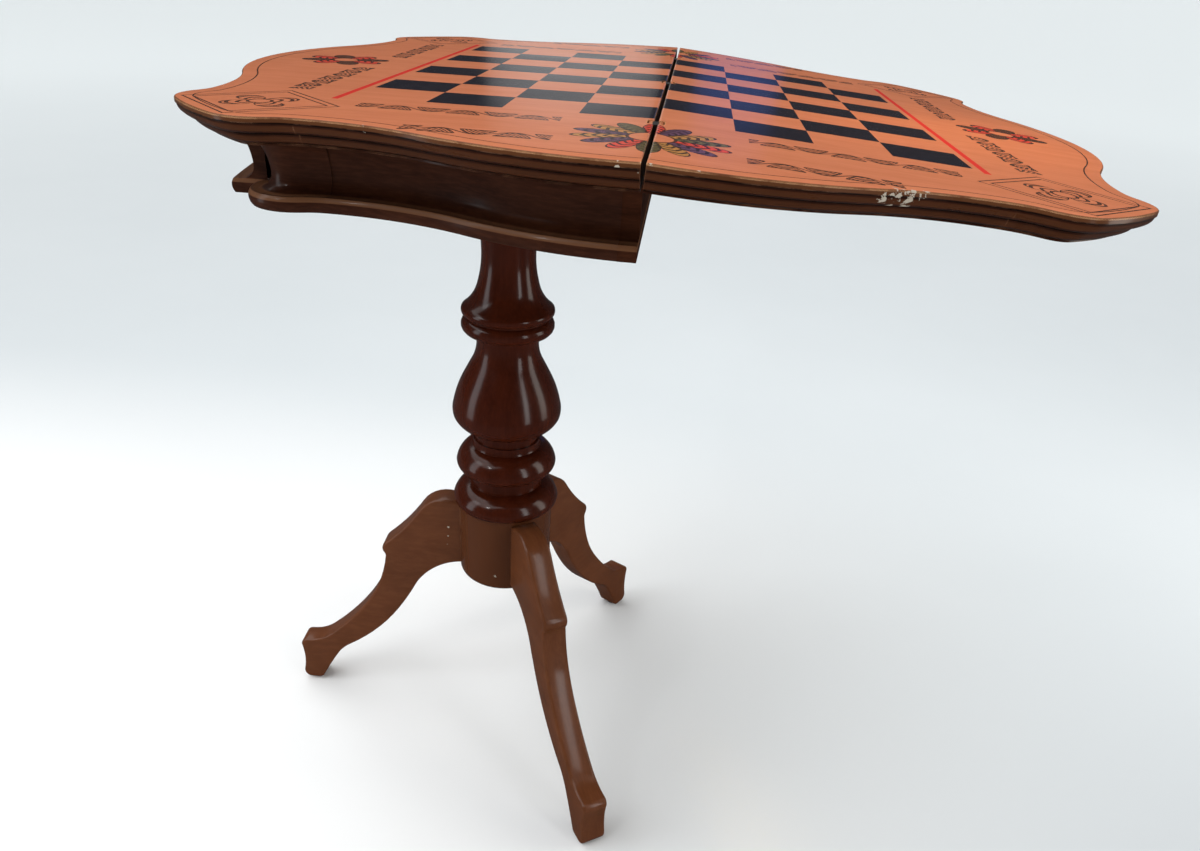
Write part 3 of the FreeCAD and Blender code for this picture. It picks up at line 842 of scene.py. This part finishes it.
def slot_for_links(bm):
    """Cut the slots that the hinge links swing in, open at the split."""
    for middle in hinge_places:
        for side in (-slot_half, slot_half):
            cut(bm, (0, middle + side, 0), (0, 1, 0), clear=False)
    cut(bm, (-slot_back, 0, 0), (1, 0, 0), clear=False)
    inside = []
    for face in bm.faces:
        at = face.calc_center_median()
        if at.x > -slot_back and min(abs(at.y - middle) for middle in hinge_places) < slot_half:
            inside.append(face)
    bmesh.ops.delete(bm, geom=inside, context="FACES")
    rim = [edge for edge in bm.edges if edge.is_boundary and lie_at(edge.verts, Z, top_z)]
    walls = only_verts(bmesh.ops.extrude_edge_only(bm, edges=rim)["geom"])
    bmesh.ops.translate(bm, vec=(0, 0, board_z - top_z), verts=walls)
    bmesh.ops.remove_doubles(bm, verts=bm.verts, dist=merge_gap)


def veneer(side, body):
    """A top sheet: its rounded edge, a margin that knows how far in it is, and the field inside it."""
    bm = bmesh.new()
    inset = bm.verts.layers.float.new("inset")
    bend = arris_r * (1 - math.sqrt(0.5))
    steps = [((0, top_z - arris_r),), ((bend, top_z - bend), (arris_r, top_z)), ((print_in, top_z),)]
    trace(bm, (0, board_z), steps, at_start(outline[0]), closed=False)
    for vert in bm.verts:
        vert[inset] = vert.co.y + half_width
    run_round(bm, outline)
    for z in (board_z, top_z):
        rim = [edge for edge in bm.edges if edge.is_boundary and lie_at(edge.verts, Z, z)]
        rim = [edge for edge in rim if not lie_at(edge.verts, X, 0)]
        ends = [vert for vert in {vert for edge in rim for vert in edge.verts} if lie_at([vert], X, 0)]
        rim.append(bm.edges.new(sorted(ends, key=lambda vert: vert.co.y)))
        bmesh.ops.contextual_create(bm, geom=rim)
    cut(bm, (split_x, 0, 0), (1, 0, 0))
    close_ends(bm)
    slot_for_links(bm)
    lip = [edge for edge in bm.edges if lie_at(edge.verts, X, split_x) and lie_at(edge.verts, Z, top_z)]
    round_over(bm, lip, split_arris, segments=3)
    plan = bm.loops.layers.uv.new("plan")
    way = -1 if side == "folding" else 1
    for face in bm.faces:
        for loop in face.loops:
            loop[plan].uv = (way * loop.vert.co.x * MM, loop.vert.co.y * MM)
    if side == "folding":
        to_folding_leaf(bm)
    finish_piece(bm, f"{side}_top_sheet", body, f"{side}_leaf_veneer", veneer_print)


def moulding_profile():
    """Fillet, two reeds and lip, as (inset, height) from the moulding's upper edge."""
    reeds_top = board_z - moulding_fillet
    lip_in = moulding_w - lip_w
    lip_top = leaf_z + lip_t
    fall = (reeds_top - lip_top - reed_step) / 2
    run = (lip_in - 2 * reed_step) / 2
    slant = math.hypot(fall, run)
    steps = [((0, reeds_top),)]
    for reed in range(2):
        inset = reed_step + reed * (run + reed_step)
        z = reeds_top - reed * fall
        bulge = (inset + run / 2 - reed_bulge * fall / slant, z - fall / 2 - reed_bulge * run / slant)
        steps += [((inset, z),), (bulge, (inset + run, z - fall))]
    steps += [((lip_in + reed_step, reeds_top - 2 * fall),), ((lip_in + reed_step, lip_top),)]
    steps += [((lip_in, lip_top),), ((lip_in, leaf_z),), ((moulding_w, leaf_z),), ((moulding_w, board_z),)]
    return (0, board_z), steps


def edge_moulding(side, body, name, arcs):
    bm = bmesh.new()
    trace(bm, *moulding_profile(), at_start(arcs[0]))
    run_round(bm, arcs)
    cut(bm, (split_x, 0, 0), (1, 0, 0))
    close_ends(bm)
    note_rise(bm, leaf_z)
    if side == "folding":
        to_folding_leaf(bm)
    finish_piece(bm, f"{side}_edge_{name}", body, f"{side}_leaf_moulding_{name}", edge_wood)


lengths = {
    "front": front,
    "corner_front": corner,
    "end": end,
    "corner_back": mirrored(corner, behind),
    "back": mirrored(front, behind),
}
for side, body in (("fixed", "base"), ("folding", "folding_leaf")):
    veneer(side, body)
    for name, arcs in lengths.items():
        edge_moulding(side, body, name, arcs)


# Box

def frieze_profile(cove, ledge, top_in):
    """Bead, ledge and hollow, as (inset, height) from the bead's lower edge."""
    nose = nose_share * bead_r
    bead_top = box_z + 2 * bead_r
    deep = box_z + cove_share * (leaf_z - box_z)
    top = leaf_z - bead_r / 2
    low_bend = (cove - cove_bow, bead_top + low_share * (deep - bead_top))
    high_bend = (cove - cove_bow, deep + high_share * (top - deep))
    steps = [((0, box_z + bead_r), (nose, bead_top)), ((ledge, bead_top),)]
    steps += [(low_bend, (cove, deep)), (high_bend, (top_in, top)), ((top_in, leaf_z),)]
    return (nose, box_z), steps


def frieze(name, arcs, profile, cuts):
    bm = bmesh.new()
    start, steps = profile
    trace(bm, start, steps + [((frieze_in, leaf_z),), ((frieze_in, box_z),)], at_start(arcs[0]))
    run_round(bm, arcs)
    for at, way in cuts:
        cut(bm, at, way)
    close_ends(bm)
    note_rise(bm, box_z)
    finish_piece(bm, f"box_{name}", "base", f"frieze_{name}", dark_wood)


def end_panel(profile):
    """Flat panel at the split whose two ends follow the frieze's profile."""
    bm = bmesh.new()
    start, steps = profile
    nose_y = half_width - box_inset
    trace(bm, start, steps + [((nose_y, leaf_z),), ((nose_y, box_z),)],
          lambda inset, z: Vector((box_x, inset - nose_y, z)))
    thicken(bm, (panel_x - box_x, 0, 0))
    seam = [face for face in bm.faces if lie_at(face.verts, Y, 0)]
    bmesh.ops.delete(bm, geom=seam, context="FACES_ONLY")
    bmesh.ops.mirror(bm, geom=bm.verts[:] + bm.edges[:] + bm.faces[:], axis="Y", merge_dist=touching)
    note_rise(bm, box_z)
    finish_piece(bm, "box_panel", "base", "box_end_panel", panel_wood)


plain_profile = frieze_profile(cove_in, ledge_in, frieze_top_in)
full_profile = frieze_profile(corner_cove_in, corner_ledge_in, corner_top_in)
at_panel = [((box_x, 0, 0), (1, 0, 0))]
front_sawn, back_sawn = (0, -end_half, 0), (0, end_half, 0)
frieze("front", box_front, plain_profile, at_panel)
frieze("back", mirrored(box_front, behind), plain_profile, at_panel)
frieze("end", box_end, plain_profile, [(front_sawn, (0, -1, 0)), (back_sawn, (0, 1, 0))])
frieze("corner_front", box_lobes, full_profile, [(front_sawn, (0, 1, 0))])
frieze("corner_back", mirrored(box_lobes, behind), full_profile, [(back_sawn, (0, -1, 0))])
end_panel(plain_profile)


# Column

def turned(name, base_r, base_z, steps):
    """A turned piece, drawn as a half section and spun about the column's axis."""
    bm = bmesh.new()
    trace(bm, (rod_bore, base_z), [((base_r, base_z),)] + steps, lambda r, z: Vector((column_x + r, 0, z)))
    spin_full(bm, column_x, round_steps)
    note_rise(bm, 0)
    finish_piece(bm, f"turned_{name}", "base", f"column_{name}", turned_wood)


ring_z = hub_top - ring_h
hub_bend = hub_round * (1 - math.sqrt(0.5))
turned("hub", hub_r - hub_round, hub_z, [
    ((hub_r - hub_bend, hub_z + hub_bend), (hub_r, hub_z + hub_round)),
    ((hub_r, ring_z),),
    ((ring_r - 2, ring_z),),
    ((ring_r, ring_z + 4.5), (ring_r - 1, ring_z + 10.5)),
    ((ring_r - 5.5, ring_z + 17.5), (groove_in + 4, ring_z + 23.5)),
    ((groove_in, ring_z + 24.3),),
    ((groove_in, hub_top),),
    ((rod_bore, hub_top),),
])
turned("collar", groove_in, hub_top, [
    ((groove_in, hub_top + 12.5),),
    ((groove_in + 3, hub_top + 13),),
    ((collar_r - 1.8, hub_top + 18), (collar_r, hub_top + 24)),
    ((collar_r - 4, hub_top + 34.5), (groove_in + 2, hub_top + 43)),
    ((neck_in + 3, hub_top + 44),),
    ((neck_in + 2, hub_top + 46.5),),
    ((neck_in + 2, collar_top),),
    ((rod_bore, collar_top),),
])
bead_z = vase_top - bead_h
bead_seat_r = bead_ring_r - bead_step
turned("vase", neck_in, collar_top, [
    ((neck_in, collar_top + 11),),
    ((neck_in + 2.5, collar_top + 12),),
    ((vase_r - 7.5, collar_top + 18.5), (vase_r - 1.2, collar_top + 27)),
    ((vase_r, collar_top + 33.5), (vase_r - 1.1, collar_top + 42.5)),
    ((vase_r - 4.3, collar_top + 55), (vase_r - 12.5, collar_top + 74.5)),
    ((neck_in + 4.5, collar_top + 88),),
    ((neck_in - 0.3, collar_top + 99), (neck_in - 2, bead_z - 9.5)),
    ((neck_in, bead_z),),
    ((neck_in + 4.5, bead_z + 0.3),),
    ((bead_ring_r, bead_z + 8.2), (bead_ring_r - 3.4, bead_z + 16)),
    ((bead_seat_r, bead_z + 17),),
    ((bead_seat_r, vase_top),),
    ((rod_bore, vase_top),),
])
flange_z = neck_top - flange_t
waist_z = vase_top + waist_up
turned("neck", bead_seat_r, vase_top, [
    ((bead_ring_r - 3.9, vase_top + 0.6),),
    ((bead_ring_r - 0.4, vase_top + 4.5), (bead_ring_r - 0.8, vase_top + 9)),
    ((waist_r + 9.5, vase_top + 20.5), (waist_r + 3.5, vase_top + 35.5)),
    ((waist_r + 0.5, vase_top + 52), (waist_r, waist_z)),
    ((waist_r + 4.5, (waist_z + flange_z) / 2), (flange_r - 4, flange_z)),
    ((flange_r, flange_z),),
    ((flange_r, neck_top),),
    ((rod_bore, neck_top),),
])


# Legs

def smooth_steps(start, heading, points):
    """Arcs that each leave in the direction in which the last one arrived."""
    steps = []
    here = start
    for point in points:
        along, up = point[0] - here[0], point[1] - here[1]
        chord = math.atan2(up, along)
        turn = (chord - heading + math.pi) % (2 * math.pi) - math.pi
        sag = math.hypot(along, up) / 2 * math.tan(turn / 2)
        middle = ((here[0] + point[0]) / 2, (here[1] + point[1]) / 2)
        steps.append(((middle[0] + sag * math.sin(chord), middle[1] - sag * math.cos(chord)), point))
        heading = chord + turn
        here = point
    return steps


def sabre_leg(name, angle):
    """A leg drawn as shares of its reach and height, with rounded arrises."""
    bm = bmesh.new()
    foot = foot_z / leg_h
    points = [
        (0.2333, 1), (0.381, 0.9459), (0.5486, 0.7719), (0.5544, 0.7234), (0.5494, 0.7067),
        (0.6536, 0.4591), (0.8589, 0.2573), (0.9728, 0.2188), (1, 0.1876), (1, 0.04855),
        (0.9635, foot), (0.93, foot), (0.9028, 0.02427), (0.818, 0.1585), (0.7527, 0.2174),
        (0.4996, 0.4414), (0.4172, 0.5694), (0.311, 0.6755), (leg_root, 0.7137),
    ]
    points = [(r * toe_reach, z * leg_h) for r, z in points]
    start = (leg_root * toe_reach, leg_shoulder * leg_h)
    steps = smooth_steps(start, leg_heading, points)
    trace(bm, start, steps, lambda r, z: Vector((r, -leg_t / 2, z)))
    thicken(bm, (0, leg_t, 0))
    cut(bm, (hub_r - leg_sink, 0, 0), (-1, 0, 0))
    close_ends(bm)
    arrises = [edge for edge in bm.edges if lie_at(edge.verts, Y, edge.verts[0].co.y)]
    arrises = [edge for edge in arrises if max(vert.co.x for vert in edge.verts) > hub_r]
    round_over(bm, arrises, leg_arris, segments=4)
    local = bm.verts.layers.float_vector.new("local")
    for vert in bm.verts:
        vert[local] = vert.co * MM
    bmesh.ops.rotate(bm, cent=(0, 0, 0), matrix=Matrix.Rotation(math.radians(angle), 3, "Z"), verts=bm.verts)
    bmesh.ops.translate(bm, vec=(column_x, 0, 0), verts=bm.verts)
    finish_piece(bm, f"sabre_{name}", "base", name, leg_wood)


for name, angle in leg_angles.items():
    sabre_leg(name, angle)


# Camera, from the photograph's solved view

frame_w, frame_h = 1200, 851
focal_px = 910.758
centre_px = (584.436, 451.592)
yaw, pitch, roll = (math.radians(angle) for angle in (-5.06, 28.63, -3.36))
camera_at = Vector((22.0, -875.4, 841.7))

ahead = Vector((math.sin(yaw) * math.cos(pitch), math.cos(yaw) * math.cos(pitch), -math.sin(pitch)))
right = Vector((math.cos(yaw), -math.sin(yaw), 0))
down = ahead.cross(right)
right_rolled = right * math.cos(roll) + down * math.sin(roll)
down_rolled = down * math.cos(roll) - right * math.sin(roll)
camera = bpy.data.objects.new("camera", bpy.data.cameras.new("camera"))
scene.collection.objects.link(camera)
scene.camera = camera
turn = Matrix((right_rolled, -down_rolled, -ahead)).transposed().to_4x4()
camera.matrix_world = Matrix.Translation((camera_at + Vector((origin_x, 0, 0))) * MM) @ turn
camera.data.sensor_width = 36.0
camera.data.lens = focal_px * camera.data.sensor_width / frame_w
camera.data.shift_x = (frame_w / 2 - centre_px[0]) / frame_w
camera.data.shift_y = (centre_px[1] - frame_h / 2) / frame_w
camera.data.clip_end = 120


# Studio, in metres

white = (1.0, 1.0, 1.0)
cool = (0.92, 0.96, 1.0)
tall_spread = math.radians(140)   # tall lamps leave no hard edge on the floor


def lamp(name, kind, at, look_at, power, colour=white):
    data = bpy.data.lights.new(name, kind)
    data.energy = power
    data.color = colour
    holder = bpy.data.objects.new(name, data)
    scene.collection.objects.link(holder)
    holder.location = at
    holder.rotation_euler = (Vector(look_at) - Vector(at)).to_track_quat("-Z", "Y").to_euler()
    holder.visible_camera = False
    return data


def panel_light(name, at, look_at, size, power, colour=white, shape="RECTANGLE", spread=math.pi):
    data = lamp(name, "AREA", at, look_at, power, colour)
    data.shape = shape
    data.size, data.size_y = size
    data.spread = spread


def floor_finish():
    """Pale floor, tinted near the table, with painted light at the left front and painted shade at the right
    front, and almost white far off.
    """
    material, tree, bsdf = new_finish("pale_floor")
    vector = object_vector(tree)
    x, y, _ = coordinates(tree, vector)
    cloud = noise(tree, vector, scale=1.1, detail=4.0)
    away = (x * x + y * y).math("SQRT")
    # Painted light: the floor whiter at the left front
    left_front = x.below(0.25, soft=0.6) * y.below(0.55, soft=0.4)
    # Painted shade: the floor darker, in patches, at the right front
    right_front = x.over(0.55, soft=0.4) * y.below(0.0, soft=0.6) * (cloud * 0.6 + 0.5)
    colour = tinted(tree, (0.64, 0.685, 0.705), (0.71, 0.75, 0.77), cloud)
    colour = tinted(tree, colour, (0.93, 0.94, 0.94), left_front)
    colour = tinted(tree, colour, (0.40, 0.42, 0.44), right_front)
    colour = tinted(tree, colour, (0.93, 0.985, 1.0), away.over(4.5, soft=3.0))
    tree.links.new(colour, bsdf.inputs["Base Color"])
    bsdf.inputs["Roughness"].default_value = 0.9
    bsdf.inputs["Specular IOR Level"].default_value = 0.1
    return material


def pale_floor():
    """A wide floor that rises towards its rim, so that it fills the view, and takes the shadows."""
    flat, rim, lift, rings, turns = 8.0, 45.0, 13.0, 16, 96
    bm = bmesh.new()
    shares = [ring / rings for ring in range(rings + 1)]
    steps = [((flat + (rim - flat) * share, lift * share ** 2),) for share in shares]
    trace(bm, (0, 0), steps, lambda r, z: Vector((r, 0, z)), closed=False)
    spin_full(bm, 0, turns)
    bmesh.ops.remove_doubles(bm, verts=bm.verts, dist=MM)
    bmesh.ops.recalc_face_normals(bm, faces=bm.faces)
    floor = new_object(bm, "floor", floor_finish())
    floor.data.shade_smooth()


def dim_room():
    """A dark drum that only reflections see, so that the lacquer mirrors a dim room."""
    wide, tall, off_floor = 6.0, 4.2, 0.004
    bm = bmesh.new()
    bmesh.ops.create_cone(bm, cap_ends=True, segments=64, radius1=wide, radius2=wide, depth=tall)
    bmesh.ops.translate(bm, vec=(0, 0, tall / 2 + off_floor), verts=bm.verts)
    lid = [face for face in bm.faces if all(vert.co.z > tall / 2 for vert in face.verts)]
    bmesh.ops.delete(bm, geom=lid, context="FACES_ONLY")
    room = new_object(bm, "dim_room", matt_finish("dim_cloth", (0.03, 0.03, 0.034), (0.05, 0.05, 0.055)))
    room.visible_camera = False
    room.visible_diffuse = False
    room.visible_shadow = False


pale_floor()
dim_room()
sky = lamp("sky", "SUN", at=(-0.75, 0.1, 1.6), look_at=(0, 0, 0), power=2.6)
sky.angle = math.radians(90)
panel_light("ceiling", at=(0, 0, 4.0), look_at=(0, 0, 0), size=(6.0, 6.0), power=55)
panel_light("left_front", at=(-2.2, -0.8, 1.15), look_at=(-0.1, 0, 0.6), size=(0.7, 2.2), power=7.8,
            colour=cool, spread=tall_spread)
panel_light("right_front", at=(1.85, -1.5, 1.2), look_at=(-0.1, 0, 0.6), size=(0.45, 2.0), power=7.8,
            spread=tall_spread)
panel_light("right_side", at=(1.9, 0.1, 1.15), look_at=(0.2, 0, 0.6), size=(0.6, 2.2), power=8.4,
            colour=(1.0, 0.95, 0.88), spread=tall_spread)
warm_spot = lamp("warm_spot", "SPOT", at=(0.60, 0.25, 1.5), look_at=(0.26, -0.06, 0.718), power=20,
                 colour=(1.0, 0.70, 0.28))
warm_spot.spot_size = math.radians(23)
warm_spot.spot_blend = 0.9
warm_spot.shadow_soft_size = 0.08
panel_light("bulb", at=(-1.3, -1.7, 2.1), look_at=(-0.13, 0, 0.4), size=(0.09, 0.09), power=3.0,
            shape="ELLIPSE")
panel_light("far_window", at=(-0.44, 3.0, 1.05), look_at=(-0.2, 0, 0.7), size=(0.7, 0.4), power=0.42,
            shape="ELLIPSE")
panel_light("blue_window", at=(0.26, 3.0, 1.02), look_at=(0, 0, 0.7), size=(0.34, 0.42), power=0.13,
            colour=(0.12, 0.28, 1.0), shape="ELLIPSE")
world = bpy.data.worlds.new("studio")
scene.world = world
world.use_nodes = True
background = world.node_tree.nodes["Background"]
background.inputs["Color"].default_value = cool + (1.0,)
background.inputs["Strength"].default_value = 0.04
